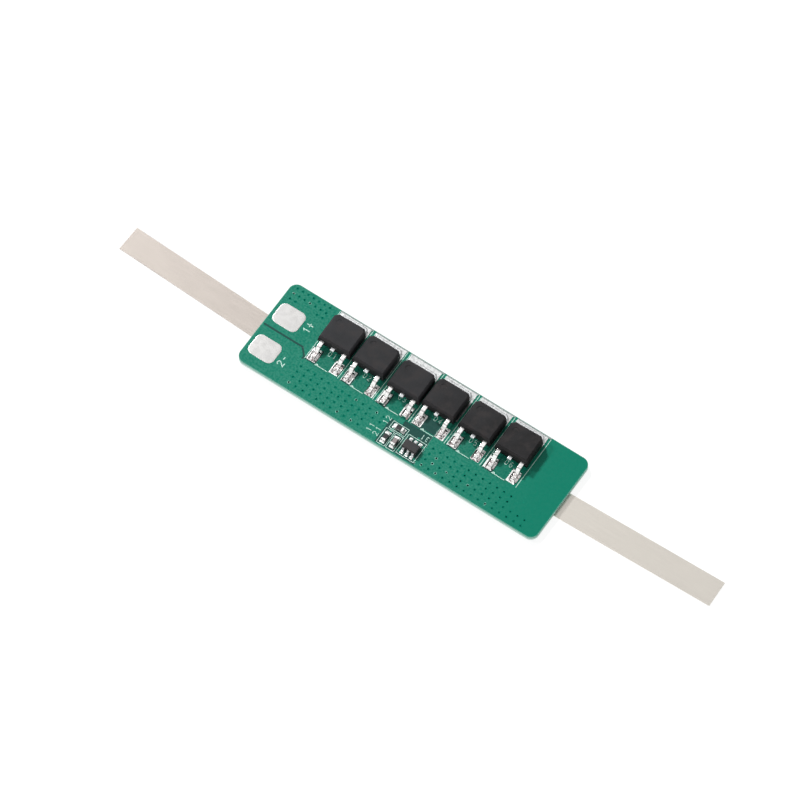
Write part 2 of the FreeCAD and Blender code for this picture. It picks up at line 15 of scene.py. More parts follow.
import bmesh
import bpy
import numpy as np
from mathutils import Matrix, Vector


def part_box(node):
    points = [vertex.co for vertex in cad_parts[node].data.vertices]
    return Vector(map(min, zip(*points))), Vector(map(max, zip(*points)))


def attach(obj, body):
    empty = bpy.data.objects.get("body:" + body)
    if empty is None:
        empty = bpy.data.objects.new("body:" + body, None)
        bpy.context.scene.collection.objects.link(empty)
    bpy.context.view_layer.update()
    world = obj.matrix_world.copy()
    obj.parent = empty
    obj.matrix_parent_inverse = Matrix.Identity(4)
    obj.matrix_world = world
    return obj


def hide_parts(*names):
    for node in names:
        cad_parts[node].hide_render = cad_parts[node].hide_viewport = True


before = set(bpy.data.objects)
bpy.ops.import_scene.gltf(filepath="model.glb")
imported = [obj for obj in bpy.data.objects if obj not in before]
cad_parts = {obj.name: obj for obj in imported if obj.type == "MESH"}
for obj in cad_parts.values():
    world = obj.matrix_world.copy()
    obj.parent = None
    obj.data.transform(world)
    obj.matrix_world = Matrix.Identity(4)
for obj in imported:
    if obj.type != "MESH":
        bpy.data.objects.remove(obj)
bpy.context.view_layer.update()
print("packed solids:", len(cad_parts))

# %% [markdown]
# ## Where things are
#
# A board's maker counts places from one corner, so we do the same: millimetres from the west
# end and from the south edge, and heights above the board's top face. The corner and the
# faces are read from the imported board, and one function turns such places into metres.

# %% Places on the board
MM = 0.001
board_low, board_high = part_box("circuit_board")
WEST, SOUTH = board_low.x, board_low.y
EAST, NORTH = board_high.x, board_high.y
TOP, UNDERSIDE = board_high.z, board_low.z
BOARD_LENGTH = (EAST - WEST) / MM
BOARD_WIDTH = (NORTH - SOUTH) / MM
BOARD_THICK = (TOP - UNDERSIDE) / MM


def on_board(points):
    """Board millimetres to metres: the corner's place plus a thousandth of each number."""
    return np.asarray(points, float) * MM + (WEST, SOUTH, TOP)


print("board", round(BOARD_LENGTH, 2), "x", round(BOARD_WIDTH, 2), "x", round(BOARD_THICK, 2))

# %% [markdown]
# ## Camera
#
# The photograph was taken from high up with a long lens, so the board's long edges stay
# almost parallel. The camera stands on a line given by two angles and a distance from the
# point that it looks at.

# %% Set up the camera
CAMERA_AZIMUTH = math.radians(34.327)
CAMERA_ELEVATION = math.radians(63.518)
CAMERA_DISTANCE = 1.2012
CAMERA_TARGET = Vector((-3.797, 0.296, 1.25)) * MM
CAMERA_LENS = 321.6

towards_camera = Vector((
    math.sin(CAMERA_AZIMUTH) * math.cos(CAMERA_ELEVATION),
    -math.cos(CAMERA_AZIMUTH) * math.cos(CAMERA_ELEVATION),
    math.sin(CAMERA_ELEVATION)))
camera = bpy.data.objects.new("camera", bpy.data.cameras.new("camera"))
bpy.context.scene.collection.objects.link(camera)
camera.data.lens = CAMERA_LENS
camera.data.sensor_width = 36.0
camera.data.clip_start, camera.data.clip_end = 0.01, 50.0
camera.location = CAMERA_TARGET + towards_camera * CAMERA_DISTANCE
camera.rotation_euler = (-towards_camera).to_track_quat("-Z", "Y").to_euler()
bpy.context.scene.camera = camera
print("camera at", [round(value, 3) for value in camera.location])

# %% [markdown]
# ## Light and floor
#
# The shadows beside the transistors say that two lamps stand beyond the board's west end,
# some forty degrees apart and forty-five degrees up: a shadow is longer than its transistor
# at both ends. They are fairly small, so the shadows keep an edge. A white panel stands
# opposite the camera, because bare metal shows what is mirrored in it and not what shines on
# it. A wide one on the camera's side lights the walls that face us, a dim one beyond the
# east end gives the metal a bright edge there, and one overhead does so for a view from above.
# The floor lies a hair below the strips, so that the two never share a plane.

# %% Lamps, panels and floor
LAMPS = [
    # name, metres across, watts, azimuth and elevation in degrees, metres away
    ("key_lamp", 0.26, 31.0, 151.0, 44.5, 2.0),
    ("second_lamp", 0.26, 10.5, 194.0, 46.0, 2.0),
    ("mirrored_panel", 1.5, 3.1, 124.3, 63.5, 1.8),
    ("front_panel", 2.6, 18.0, -100.0, 32.0, 2.2),
    ("far_side_panel", 2.0, 6.0, 30.0, 36.0, 2.4),
    ("overhead_panel", 1.3, 2.4, 0.0, 90.0, 2.0),
]


def area_lamp(name, size, watts, azimuth, elevation, distance):
    """A round white lamp at two angles and a distance from the board, facing its middle."""
    azimuth, elevation = math.radians(azimuth), math.radians(elevation)
    direction = Vector((math.cos(elevation) * math.cos(azimuth),
                        math.cos(elevation) * math.sin(azimuth), math.sin(elevation)))
    light = bpy.data.lights.new(name, "AREA")
    light.shape = "DISK"
    light.size = size
    light.energy = watts
    lamp = bpy.data.objects.new(name, light)
    bpy.context.scene.collection.objects.link(lamp)
    lamp.location = direction * distance
    lamp.rotation_euler = (-direction).to_track_quat("-Z", "Y").to_euler()


for lamp_row in LAMPS:
    area_lamp(*lamp_row)
print("lamps:", [lamp_row[0] for lamp_row in LAMPS])

FLOOR_REACH = 10.0
FLOOR_GAP = 0.00002
floor_mesh = bpy.data.meshes.new("floor")
floor_corners = [(-1, -1), (1, -1), (1, 1), (-1, 1)]
floor_mesh.from_pydata([(x * FLOOR_REACH, y * FLOOR_REACH, -FLOOR_GAP)
                        for x, y in floor_corners], [], [(0, 1, 2, 3)])
floor = bpy.data.objects.new("floor", floor_mesh)
bpy.context.scene.collection.objects.link(floor)

# %% [markdown]
# ## A small vocabulary of shader nodes
#
# A material is a sum: numbers made from the place on the surface, mixed into a colour, a
# roughness and a bump. These helpers name the few steps that all the finishes use. Places
# are handed on in board millimetres, so a pattern can be read against the real board.

# %% Shader helpers
def new_material(name, colour, roughness, metallic=0.0, specular=0.5):
    """A material whose shader's own sockets hold what is the same all over."""
    material = bpy.data.materials.new(name)
    material.use_nodes = True
    shader = material.node_tree.nodes["Principled BSDF"]
    shader.inputs["Base Color"].default_value = (*colour, 1.0)
    shader.inputs["Roughness"].default_value = roughness
    shader.inputs["Metallic"].default_value = metallic
    shader.inputs["Specular IOR Level"].default_value = specular
    return material, material.node_tree, shader


def add(tree, kind, inputs, **settings):
    """A node of one kind: inputs that are sockets are linked, and others are set."""
    node = tree.nodes.new("ShaderNode" + kind)
    for name, value in settings.items():
        setattr(node, name, value)
    for place, value in inputs.items():
        if isinstance(value, bpy.types.NodeSocket):
            tree.links.new(value, node.inputs[place])
        else:
            node.inputs[place].default_value = value
    return node


def number(tree, operation, *values):
    """One step of arithmetic on numbers."""
    return add(tree, "Math", dict(enumerate(values)), operation=operation).outputs[0]


def vector(tree, operation, *values):
    """One step of arithmetic on vectors; lengths and dot products come back as numbers."""
    node = add(tree, "VectorMath", dict(enumerate(values)), operation=operation)
    return node.outputs[1 if operation in ("LENGTH", "DOT_PRODUCT") else 0]


def ramp(tree, value, start, end, low=0.0, high=1.0):
    """A smooth step of a value: low up to the start, high from the end."""
    inputs = {0: value, 1: start, 2: end, 3: low, 4: high}
    return add(tree, "MapRange", inputs, interpolation_type="SMOOTHSTEP").outputs[0]


def mix(tree, amount, first, second):
    """A colour between two: the first where the amount is 0, the second where it is 1."""
    colours = [value if isinstance(value, bpy.types.NodeSocket) else (*value, 1.0)
               for value in (first, second)]
    inputs = {0: amount, 6: colours[0], 7: colours[1]}
    return add(tree, "Mix", inputs, data_type="RGBA").outputs[2]


def board_place(tree):
    """The place of a surface point in board millimetres, with height above the top face."""
    place = add(tree, "TexCoord", {}).outputs["Object"]
    corner = (-WEST / MM, -SOUTH / MM, -TOP / MM)
    return vector(tree, "MULTIPLY_ADD", place, (1 / MM, 1 / MM, 1 / MM), corner)


def parts_of(tree, value):
    """The three numbers of a vector."""
    return add(tree, "SeparateXYZ", {0: value}).outputs


def noise(tree, place, scale, detail=3.0, roughness=0.5):
    """Cloudy noise between 0 and 1; the scale counts its lumps in a millimetre."""
    inputs = {"Vector": place, "Scale": scale, "Detail": detail, "Roughness": roughness}
    return add(tree, "TexNoise", inputs).outputs[0]


def bump(tree, shader, height, depth):
    """Turns the shader's normal by a height between 0 and 1 that stands for a depth in mm."""
    inputs = {"Height": height, "Distance": depth * MM, "Strength": 1.0}
    tree.links.new(add(tree, "Bump", inputs).outputs[0], shader.inputs["Normal"])


# %% [markdown]
# ## Sky and paper
#
# The sky is pale near the horizon and dim higher up, so metal seen from any side has something
# to mirror and the shadows stay deep. The floor is white paper that glows a little, which
# washes out the shadow on it, as on a light table.

# %% Sky and paper
WHITE = (1.0, 1.0, 1.0, 1.0)
SKY_LOW, SKY_HIGH = 0.25, 0.60
HORIZON, ZENITH = 0.50, 0.05
PAPER, PAPER_GLOW = (0.20, 0.20, 0.20), 0.86

sky = bpy.data.worlds.new("studio")
sky.use_nodes = True
tree = sky.node_tree
sky_height = parts_of(tree, add(tree, "TexCoord", {}).outputs["Object"])[2]
sky_strength = {0: sky_height, 1: SKY_LOW, 2: SKY_HIGH, 3: HORIZON, 4: ZENITH}
background = tree.nodes["Background"]
background.inputs["Color"].default_value = WHITE
tree.links.new(add(tree, "MapRange", sky_strength).outputs[0], background.inputs["Strength"])
bpy.context.scene.world = sky
bpy.context.scene.view_settings.view_transform = "Standard"

paper, tree, shader = new_material("floor_paper", PAPER, 0.9, 0.0, 0.0)
shader.inputs["Emission Color"].default_value = WHITE
shader.inputs["Emission Strength"].default_value = PAPER_GLOW
floor_mesh.materials.append(paper)
print("sky from", HORIZON, "at the horizon to", ZENITH, "overhead")

# %% [markdown]
# ## The green board
#
# Under the green mask lies copper, in broad areas with bare laminate between them. Mask over
# copper is pale and lively, and mask over laminate is dark and flat, with a small step
# between the two. So the finish starts from a drawing of where there is no copper, made of
# boxes and lines, and everything else follows from it: the colour, the gloss and the step.

# %% Drawing helpers for the copper
def box_zone(tree, place, low, high, corner=0.08, soft=0.05):
    """1 inside a box with rounded corners, 0 outside.

    The distance from the middle, less the half size, keeps only its positive parts; its
    length less the corner radius is the distance to the outline.
    """
    middle = ((low[0] + high[0]) / 2, (low[1] + high[1]) / 2, 0.0)
    half = ((high[0] - low[0]) / 2 - corner, (high[1] - low[1]) / 2 - corner, 0.0)
    offset = vector(tree, "ABSOLUTE", vector(tree, "SUBTRACT", place, middle))
    beyond = vector(tree, "MAXIMUM", vector(tree, "SUBTRACT", offset, half), (0.0, 0.0, 0.0))
    flat = vector(tree, "MULTIPLY", beyond, (1.0, 1.0, 0.0))
    distance = number(tree, "SUBTRACT", vector(tree, "LENGTH", flat), corner)
    return ramp(tree, distance, -soft, soft, 1.0, 0.0)


def line_zone(tree, place, start, end, half_width, soft=0.05):
    """1 within half a width of a straight line between two points, 0 outside.

    The place along the line is a dot product held between 0 and 1, and the distance is
    measured from the point of the line at that place.
    """
    run = np.subtract(end, start)
    share = run / np.dot(run, run)
    offset = vector(tree, "SUBTRACT", vector(tree, "MULTIPLY", place, (1.0, 1.0, 0.0)),
                    (*start, 0.0))
    along = number(tree, "MAXIMUM", vector(tree, "DOT_PRODUCT", offset, (*share, 0.0)), 0.0)
    along = number(tree, "MINIMUM", along, 1.0)
    spot = add(tree, "VectorMath", {0: (*run, 0.0), "Scale": along}, operation="SCALE").outputs[0]
    distance = vector(tree, "LENGTH", vector(tree, "SUBTRACT", offset, spot))
    return ramp(tree, distance, half_width - soft, half_width + soft, 1.0, 0.0)


def highest(tree, zones):
    """The largest of several numbers."""
    most = zones[0]
    for zone in zones[1:]:
        most = number(tree, "MAXIMUM", most, zone)
    return most


# %% Where there is copper
BARE_BOXES = [
    ((33.1, 6.75), (35.95, 9.1)),
    ((30.4, 5.35), (35.95, 6.35)),
    ((32.1, 4.65), (35.95, 5.5)),
    ((28.2, 0.3), (32.2, 5.4)),
    ((32.3, 0.3), (36.1, 4.75)),
]
COPPER_LINES = [
    # start, end, half of the width
    ((31.2, 3.6), (31.2, 4.5), 0.2),
    ((31.4, 1.1), (33.2, 1.1), 0.18),
    ((29.4, 0.9), (29.4, 0.3), 0.3),
    ((29.4, 2.9), (29.6, 4.4), 0.2),
    ((34.1, 3.9), (34.1, 4.9), 0.2),
    ((35.1, 3.9), (36.2, 3.9), 0.2),
    ((35.1, 1.2), (36.2, 1.2), 0.2),
]
GROOVE = [((0.45, 8.05), (8.25, 8.05)), ((8.25, 8.05), (9.45, 6.75)), ((9.45, 6.75), (9.45, 6.3))]
GROOVE_HALF_WIDTH = 0.17

ROW_START, ROW_PITCH = 13.04, 7.18
ROW_ZONE = ((ROW_START - 3.6, 0.0), (ROW_START + 39.5, BOARD_WIDTH))
GATE_CLEARANCE = ((-3.36, 6.42), (-1.22, 9.35))
MASK_OVER_COPPER = (0.004, 0.182, 0.118)

mask, tree, shader = new_material("green_solder_mask", MASK_OVER_COPPER, 0.30, 0.0, 0.10)
place = board_place(tree)
east_west, south_north, height = parts_of(tree, place)[:3]
bare = highest(tree, [box_zone(tree, place, low, high) for low, high in BARE_BOXES])
traces = highest(tree, [line_zone(tree, place, *line) for line in COPPER_LINES])
bare = number(tree, "MULTIPLY", bare, number(tree, "SUBTRACT", 1.0, traces))
grooves = highest(tree, [line_zone(tree, place, *line, GROOVE_HALF_WIDTH) for line in GROOVE])
in_pitch = number(tree, "WRAP", number(tree, "SUBTRACT", east_west, ROW_START),
                  ROW_PITCH / 2, -ROW_PITCH / 2)
place_in_pitch = add(tree, "CombineXYZ", {0: in_pitch, 1: south_north}).outputs[0]
in_row = box_zone(tree, place, *ROW_ZONE)
gates = number(tree, "MULTIPLY", box_zone(tree, place_in_pitch, *GATE_CLEARANCE), in_row)
bare = highest(tree, [bare, grooves, gates])
copper = number(tree, "SUBTRACT", 1.0, bare)
print("bare boxes:", len(BARE_BOXES), "copper lines:", len(COPPER_LINES), "grooves:", len(GROOVE))

# %% [markdown]
# The mask has a painted sheen on it: a paler green that stands in for broad reflection,
# which fades out in the east and is broken by clouds and by a fine mottle. Between the two
# leads of each transistor it is a little darker, a painted shade where the body keeps light
# off. All round the top, a narrow rim is worn down to the laminate's own green.

# %% Colours of the mask
MASK_OVER_LAMINATE = (0.018, 0.072, 0.061)
# painted sheen: a paler green in place of the mask's broad reflection, strongest in the west
PAINTED_SHEEN_GREEN = (0.029, 0.227, 0.157)
SHEEN_FULL, SHEEN_GONE = 40.0, 58.0
# painted shade: the box between each transistor's leads where the mask is painted darker
PAINTED_SHADE_BOX = ((-1.9, 6.2), (1.9, 9.6))
PAINTED_SHADE_STRENGTH = 0.16
BLACK = (0.0, 0.0, 0.0)
LAMINATE_EDGE = (0.12, 0.36, 0.28)
RIM_WIDTH, RIM_CORNER = 0.07, 1.4

facing = parts_of(tree, add(tree, "NewGeometry", {}).outputs["True Normal"])[2]
on_top = ramp(tree, facing, 0.4, 0.6)
level = ramp(tree, number(tree, "ABSOLUTE", facing), 0.4, 0.6)
westwards = ramp(tree, east_west, SHEEN_FULL, SHEEN_GONE, 1.0, 0.0)
cloud = ramp(tree, noise(tree, place, 0.35, 4.0), 0.2, 0.7, 0.45, 1.0)
mottle = ramp(tree, noise(tree, place, 2.6, 2.0), 0.3, 0.7, 0.0, 1.6)
# painted sheen, fading out towards the east and broken by clouds and mottle
painted_sheen = number(tree, "MULTIPLY", number(tree, "MULTIPLY", westwards, cloud), mottle)
green = mix(tree, painted_sheen, MASK_OVER_COPPER, PAINTED_SHEEN_GREEN)

# painted shade between the leads, on the top face only
painted_shade_between_leads = number(tree, "MULTIPLY", number(tree, "MULTIPLY", in_row, on_top),
                       box_zone(tree, place_in_pitch, *PAINTED_SHADE_BOX, 0.5, 0.5))
grain = ramp(tree, noise(tree, place, 4.0, 2.0), 0.3, 0.7, 0.0, 0.11)
# shade holds the painted shade between the leads plus a fine random grain in the west
shade = number(tree, "MULTIPLY_ADD", painted_shade_between_leads, PAINTED_SHADE_STRENGTH,
               number(tree, "MULTIPLY", westwards, grain))
green = mix(tree, shade, green, BLACK)
green = mix(tree, number(tree, "MULTIPLY", bare, on_top), green, MASK_OVER_LAMINATE)
inside_rim = box_zone(tree, place, (RIM_WIDTH, RIM_WIDTH),
                      (BOARD_LENGTH - RIM_WIDTH, BOARD_WIDTH - RIM_WIDTH), RIM_CORNER, RIM_WIDTH)
green = mix(tree, inside_rim, LAMINATE_EDGE, green)
print("haze fades between", SHEEN_FULL, "and", SHEEN_GONE, "mm from the west end")

# %% [markdown]
# At the sides the cut glass laminate shows, in layers as thin as the cloth. It lets light
# through, so it is palest at the bottom, where the floor shines into it.

# %% Cut sides, gloss and step
LAMINATE_UPPER = (0.22, 0.43, 0.36)
LAMINATE_LOWER = (0.52, 0.68, 0.62)
LAMINATE_GLASS = (0.62, 0.78, 0.70)
CUT_ROUGHNESS = 0.85
STEP_SHARE = 0.75
STEP_AND_RIPPLE = 0.035

layers = noise(tree, vector(tree, "MULTIPLY", place, (0.6, 0.6, 9.0)), 1.0, 3.0)
side = mix(tree, ramp(tree, height, -0.95, -0.1), LAMINATE_LOWER, LAMINATE_UPPER)
side = mix(tree, ramp(tree, layers, 0.45, 0.75, 0.0, 0.4), side, LAMINATE_GLASS)
side = mix(tree, ramp(tree, height, -0.12, -0.03), side, LAMINATE_EDGE)
tree.links.new(mix(tree, level, side, green), shader.inputs["Base Color"])
gloss = ramp(tree, noise(tree, place, 1.4, 2.0), 0.2, 0.8, 0.22, 0.34)
rough = add(tree, "Mix", {0: level, 2: CUT_ROUGHNESS, 3: gloss}, data_type="FLOAT").outputs[0]
tree.links.new(rough, shader.inputs["Roughness"])
step = number(tree, "MULTIPLY", copper, STEP_SHARE)
ripple = noise(tree, place, 0.9, 2.0)
relief = number(tree, "MULTIPLY_ADD", ripple, 1 - STEP_SHARE, step)
bump(tree, shader, relief, STEP_AND_RIPPLE)
print("mask nodes:", len(tree.nodes))


def finish_nodes(material, *names):
    """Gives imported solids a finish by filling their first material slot."""
    for name in names:
        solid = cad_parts[name]
        solid.data.materials.clear()
        solid.data.materials.append(material)


finish_nodes(mask, "circuit_board")

# %% [markdown]
# ## Meshes from arrays
#
# Every new piece is one or more grids of points. Writing the four-cornered faces of a grid
# is index arithmetic, so it is done once for all grids. Seams and poles are made by letting
# points fall on each other and then merging them, which keeps each formula simple. The
# normals are worked out last, on the merged and closed surface.

# %% Grids of points to a mesh
WELD = 1e-7
SHARP_CORNER = math.radians(40)


def quads(points):
    """Faces of a grid, or of many: each joins a point, the next in its row, and the two
    below them, with numbers counted through the whole array."""
    rows, columns = points.shape[-3:-1]
    number = np.arange(points.size // 3).reshape(-1, rows, columns)
    corners = (number[:, :-1, :-1], number[:, :-1, 1:], number[:, 1:, 1:], number[:, 1:, :-1])
    return np.stack(corners, axis=-1).reshape(-1, 4)


def new_piece(name, grids, material):
    """One object from grids of points: merges seams and poles and turns the faces outwards."""
    points = np.concatenate([grid.reshape(-1, 3) for grid in grids])
    starts = np.cumsum([0] + [grid.size // 3 for grid in grids[:-1]])
    faces = np.concatenate([quads(grid) + start for grid, start in zip(grids, starts)])
    mesh = bpy.data.meshes.new(name)
    mesh.from_pydata(points.tolist(), [], faces.tolist())
    shape = bmesh.new()
    shape.from_mesh(mesh)
    bmesh.ops.remove_doubles(shape, verts=shape.verts, dist=WELD)
    bmesh.ops.dissolve_degenerate(shape, edges=shape.edges, dist=WELD)
    bmesh.ops.recalc_face_normals(shape, faces=shape.faces)
    shape.to_mesh(mesh)
    shape.free()
    return dress(name, mesh, material)


def dress(name, mesh, material):
    """Puts a mesh into the scene with its material and the body that it rides on."""
    mesh.shade_smooth()
    mesh.set_sharp_from_angle(angle=SHARP_CORNER)
    mesh.materials.append(material)
    piece = bpy.data.objects.new(name, mesh)
    bpy.context.scene.collection.objects.link(piece)
    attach(piece, "root")
    print(name, len(mesh.vertices), "points", len(mesh.polygons), "faces")
    return piece


# %% [markdown]
# ## Vias
#
# Small plated holes stitch the copper of both faces together. The mask runs over most of
# them and sinks into the hole, so each shows as a low ring with a dimple darkened by painted
# shade, paler in the west where the mask filled them better. A dimple is a profile turned
# round an upright axis, and all of them are made at once: one array holds a grid for every
# via. In a few the mask broke: there a rim of tin, stained green, shows round a deep hole
# painted black as shade, which the mask of the other face still closes.

# %% Rows of vias
def via_rows(first, pitch, columns, rows):
    """Centres on a lattice: the first place, plus whole pitches along and across."""
    along, across = np.meshgrid(np.asarray(columns), np.asarray(rows))
    steps = np.stack([along.ravel(), across.ravel()], axis=1)
    return np.asarray(first) + steps * np.asarray(pitch)


LEFT_VIA, LEFT_PITCH = (10.11, 1.27), (1.405, 1.21)
RIGHT_VIA, RIGHT_PITCH = (BOARD_LENGTH - 3.28, 1.05), (-1.43, 1.21)
CORNER_VIA, CORNER_PITCH = (1.25, BOARD_WIDTH - 0.78), (1.107, -1.15)
vias = np.concatenate([
    via_rows(LEFT_VIA, LEFT_PITCH, range(11), range(2)),
    via_rows(LEFT_VIA, LEFT_PITCH, range(13), range(2, 4)),
    via_rows(RIGHT_VIA, RIGHT_PITCH, range(15), range(2)),
    via_rows(RIGHT_VIA, RIGHT_PITCH, range(3, 15), range(2, 4)),
    via_rows(CORNER_VIA, CORNER_PITCH, range(7), range(2)),
    via_rows(CORNER_VIA, CORNER_PITCH, (0, 1, 5, 6), (2,)),
])
BROKEN_VIAS = [(1.25, 15.57), (4.57, 15.57), (10.11, 1.27), (21.35, 4.90), (25.57, 4.90),
               (19.95, 1.27), (22.76, 1.27), (37.20, 1.05), (38.63, 3.47), (38.63, 2.26),
               (40.06, 1.05), (41.49, 2.26), (45.78, 2.26), (50.07, 1.05)]
SAME_PLACE = 0.5
gaps = np.linalg.norm(vias[:, None, :] - np.asarray(BROKEN_VIAS)[None, :, :], axis=2)
is_broken = gaps.min(axis=1) < SAME_PLACE
print("vias:", len(vias), "of which broken:", int(is_broken.sum()))

# %% Turned profiles for dimples and broken vias
VIA_STEPS = 12
# each point is a radius and a height outwards from the board's face
BROKEN = [(0.0, -0.35), (0.10, -0.34), (0.13, -0.20), (0.145, -0.02), (0.165, 0.010),
          (0.20, 0.020), (0.25, 0.020), (0.285, 0.004), (0.29, -0.01), (0.17, -0.40),
          (0.0, -0.42)]
DIMPLE = [(0.0, -0.070), (0.06, -0.066), (0.115, -0.044), (0.15, -0.012), (0.18, 0.006),
          (0.23, 0.010), (0.27, 0.003), (0.28, -0.01), (0.15, -0.14), (0.0, -0.15)]


def turned(centres, profile, face_height, upwards):
    """Grids of a profile turned round each centre.

    A point lies at the centre plus the radius times the cosine and sine of its angle, and
    its height is measured outwards from the board's face.
    """
    radius, height = np.asarray(profile).T
    angle = np.linspace(0, 2 * math.pi, VIA_STEPS + 1)
    flat = radius[:, None, None] * np.stack([np.cos(angle), np.sin(angle)], axis=1)[None]
    flat = np.asarray(centres)[:, None, None, :] + flat[None]
    level = np.broadcast_to(face_height + upwards * height[None, :, None], flat.shape[:3])
    return on_board(np.concatenate([flat, level[..., None]], axis=3))


def sunk(tree, place, from_depth, to_depth):
    """0 above one depth, in millimetres below the nearer face, and 1 below another."""
    height = parts_of(tree, place)[2]
    from_middle = number(tree, "ABSOLUTE", number(tree, "ADD", height, BOARD_THICK / 2))
    depth = number(tree, "SUBTRACT", BOARD_THICK / 2, from_middle)
    return ramp(tree, depth, from_depth, to_depth)


# %% Mask and tin in the vias
VIA_LIP = (0.005, 0.176, 0.116)
# painted shade: the dark colour laid into each dimple below the face
VIA_PAINTED_SHADE = (0.0005, 0.018, 0.011)
via_mask, tree, shader = new_material("mask_over_vias", VIA_LIP, 0.4, 0.0, 0.0)
place = board_place(tree)
filled = ramp(tree, noise(tree, place, 0.8), 0.35, 0.65, 0.4, 1.0)
eastwards = ramp(tree, parts_of(tree, place)[0], 24.0, 38.0, 0.7, 1.0)
# painted shade in the dimples, by depth, in patches and paler in the west
dark = number(tree, "MULTIPLY", filled, sunk(tree, place, -0.006, 0.040))
dark = number(tree, "MULTIPLY", dark, eastwards)
tree.links.new(mix(tree, dark, VIA_LIP, VIA_PAINTED_SHADE), shader.inputs["Base Color"])

RIM_TIN = (0.20, 0.44, 0.36)
# painted shade: black painted into the broken vias' holes below the face
HOLE_PAINTED_SHADE = (0.002, 0.004, 0.003)
via_rim, tree, shader = new_material("broken_vias", RIM_TIN, 0.4, 0.0, 0.2)
place = board_place(tree)
patchy = mix(tree, ramp(tree, noise(tree, place, 4.0), 0.4, 0.6), RIM_TIN, VIA_LIP)
tree.links.new(mix(tree, sunk(tree, place, 0.0, 0.02), patchy, HOLE_PAINTED_SHADE),
               shader.inputs["Base Color"])

for face, face_height, upwards in (("top", 0.0, 1), ("under", -BOARD_THICK, -1)):
    new_piece("vias_" + face, [turned(vias[~is_broken], DIMPLE, face_height, upwards)],
              via_mask)
    new_piece("broken_vias_" + face, [turned(vias[is_broken], BROKEN, face_height, upwards)],
              via_rim)

# %% [markdown]
# ## Profiles carried along paths
#
# Printed lines and solder have one thing in common: the same small profile follows a path on
# the board. At a corner of the path the profile has to be wider, as in a picture frame, so
# the step to the side is a mitre and not a plain normal.

# %% Sweep a profile along a flat path
def side_steps(path, closed):
    """For each point, the step to the left that keeps the width of the runs in a corner.

    Each run's direction is turned left by a quarter. The left steps of the two runs that
    meet are added and divided by one plus their dot product.
    """
    runs = np.diff(path, axis=0)
    left = np.stack([-runs[:, 1], runs[:, 0]], axis=1)
    left /= np.linalg.norm(left, axis=1, keepdims=True)
    before = np.concatenate([left[-1:] if closed else left[:1], left])
    after = np.concatenate([left, left[:1] if closed else left[-1:]])
    return (before + after) / (1 + np.sum(before * after, axis=1, keepdims=True))


def sweep(path, across, up, closed=False, spread=1.0, rise=1.0, base=0.0):
    """Grid of a closed profile along a path, in board millimetres.

    A point lies at the path's point, plus the side step times the profile's across value and
    the spread, at the base height plus the profile's up value times the rise. Spread and rise
    may differ from point to point. An open path's first and last profile shrink to a point,
    which closes the ends.
    """
    path = np.asarray(path, float)
    count = len(path)
    spread = np.broadcast_to(spread, count)[:, None, None]
    rise = np.broadcast_to(rise, count)[:, None]
    steps = side_steps(path, closed)[:, None, :]
    flat = path[:, None, :] + steps * np.asarray(across)[None, :, None] * spread
    height = base + np.asarray(up)[None, :] * rise
    grid = np.concatenate([flat, height[:, :, None]], axis=2)
    if closed:
        return grid
    ends = [np.broadcast_to(row.mean(axis=0), row.shape)[None] for row in (grid[0], grid[-1])]
    return np.concatenate([ends[0], grid, ends[1]])


def rounded_rectangle(low, high, radius, steps=6):
    """Closed path, anticlockwise: four quarter circles round the corners' centres."""
    low, high = np.asarray(low, float), np.asarray(high, float)
    centres = np.array([(high[0] - radius, high[1] - radius), (low[0] + radius, high[1] - radius),
                        (low[0] + radius, low[1] + radius), (high[0] - radius, low[1] + radius)])
    quarter = np.linspace(0, math.pi / 2, steps)
    angles = np.arange(4)[:, None] * math.pi / 2 + quarter[None, :]
    arcs = centres[:, None, :] + radius * np.stack([np.cos(angles), np.sin(angles)], axis=-1)
    path = arcs.reshape(-1, 2)
    return np.concatenate([path, path[:1]])


# %% [markdown]
# ## White print
#
# The maker prints outlines round the parts and a short mark beside each. Ink stands a
# fiftieth of a millimetre proud, with a soft edge. The lines are one profile swept along
# polylines. The north line of each transistor's box runs along the board's own edge: it is
# broad and grey there, rubbed when the board was broken out of its panel. The marks here are
# plain numbers, plus and minus: each sign is a few strokes on a unit square, scaled, turned
# and laid on the board.

# %% Ink
def print_ink(name, colour, worn_colour):
    """Rough ink with lumps of a tenth of a millimetre, worn in patches."""
    material, tree, shader = new_material(name, colour, 0.55, 0.0, 0.3)
    place = board_place(tree)
    worn = ramp(tree, noise(tree, place, 5.0, 3.0), 0.35, 0.7)
    tree.links.new(mix(tree, worn, colour, worn_colour), shader.inputs["Base Color"])
    bump(tree, shader, noise(tree, place, 12.0, 2.0), 0.006)
    return material


ink = print_ink("white_print", (0.55, 0.76, 0.68), (0.38, 0.62, 0.53))
rubbed_ink = print_ink("rubbed_print", (0.33, 0.37, 0.36), (0.21, 0.26, 0.245))
print("inks:", ink.name, "and", rubbed_ink.name)

LINE_WIDTH = 0.13
LINE_PROFILE = [-1.0, -0.8, 0.8, 1.0, -1.0]
LINE_HEIGHTS = [-0.005, 0.018, 0.018, -0.005, -0.005]


def printed(path, width=LINE_WIDTH, closed=False):
    """A printed line along a path: a flat-topped profile half the width to each side."""
    return on_board(sweep(path, LINE_PROFILE, LINE_HEIGHTS, closed, spread=width / 2))


# %% Outlines round the parts
BOX_SIDES = [(9.72, 16.45), (17.02, 23.55), (24.12, 30.90), (31.40, 38.10), (38.55, 45.32),
             (45.82, 52.60)]
BOX_SOUTH, BOX_NORTH, EDGE_WIDTH = 6.50, 17.33, 0.28
SOUTH_LINE = (-1.30, 1.36)
TICK = [(-1.14, 0.06), (-0.88, 0.24), (-0.62, 0.06)]
TICK_WIDTH = 0.18
PART_BOXES = [((28.80, 3.80), (31.95, 5.28)), ((28.52, 0.40), (30.12, 3.52)),
              ((30.38, 0.40), (31.95, 3.52)), ((32.38, 0.60), (35.88, 4.62))]
PART_LINE_WIDTH, PART_BOX_CORNER = 0.12, 0.05

